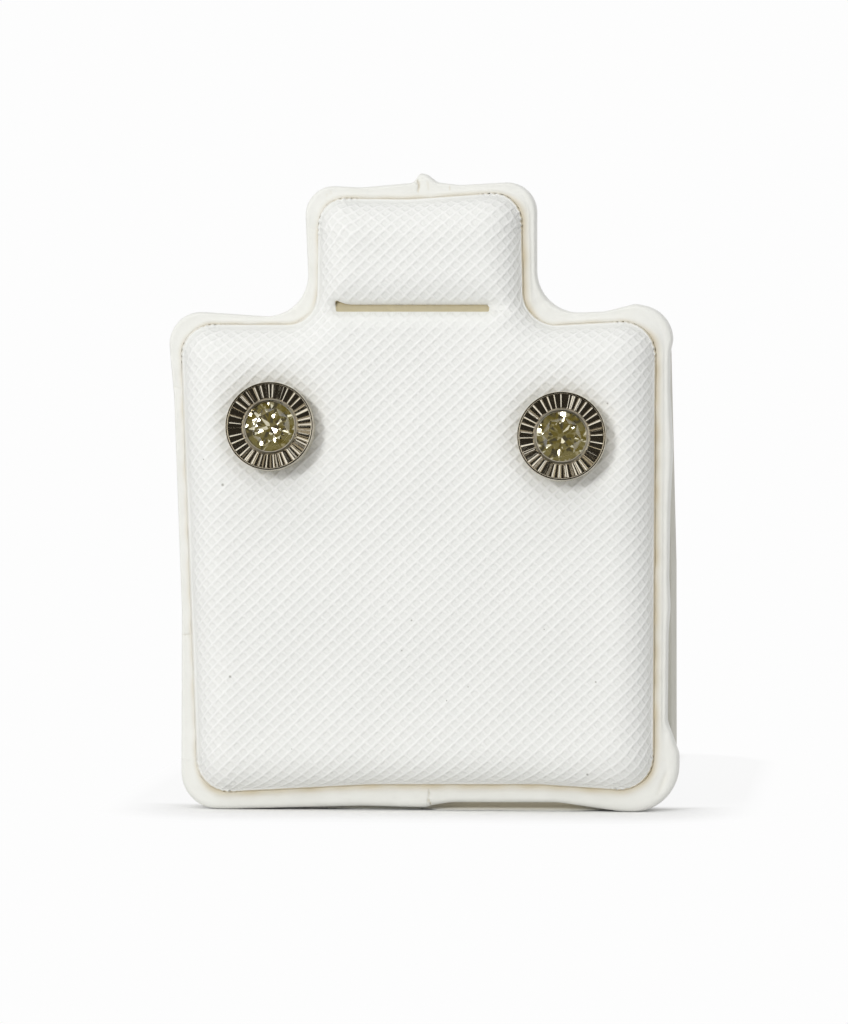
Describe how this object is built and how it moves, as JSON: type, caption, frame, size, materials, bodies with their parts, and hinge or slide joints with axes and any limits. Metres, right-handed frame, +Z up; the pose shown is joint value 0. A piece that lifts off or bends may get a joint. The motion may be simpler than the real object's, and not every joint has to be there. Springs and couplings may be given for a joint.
{
  "type": "pair of stud earrings on a puffed display card",
  "caption": "Round bezel-set stud earrings with fluted halos, held in a small standing puffed leatherette card with a hang tab and slot.",
  "frame": {"origin": "middle of the foot of the back board, on the surface that the card stands on", "axes": "+X to the right as the viewer sees the card, -Y is the face with the stones, +Z up"},
  "size_m": [0.0258, 0.0123, 0.0321],
  "materials": {
    "leatherette": "white coated cloth with an embossed diamond lattice, matt",
    "vinyl": "smooth white vinyl, slightly cream, satin",
    "board": "laminated white paperboard with a cut edge",
    "gold": "pale yellow gold, polished",
    "stone": "clear cut stone, polished facets"
  },
  "bodies": {
    "root": {"puff_pad": "leatherette", "edge_roll": "vinyl", "back_board": "board", "left_setting": "gold", "left_stone": "stone", "left_clutch": "gold", "right_setting": "gold", "right_stone": "stone", "right_clutch": "gold"}
  },
  "joints": []
}
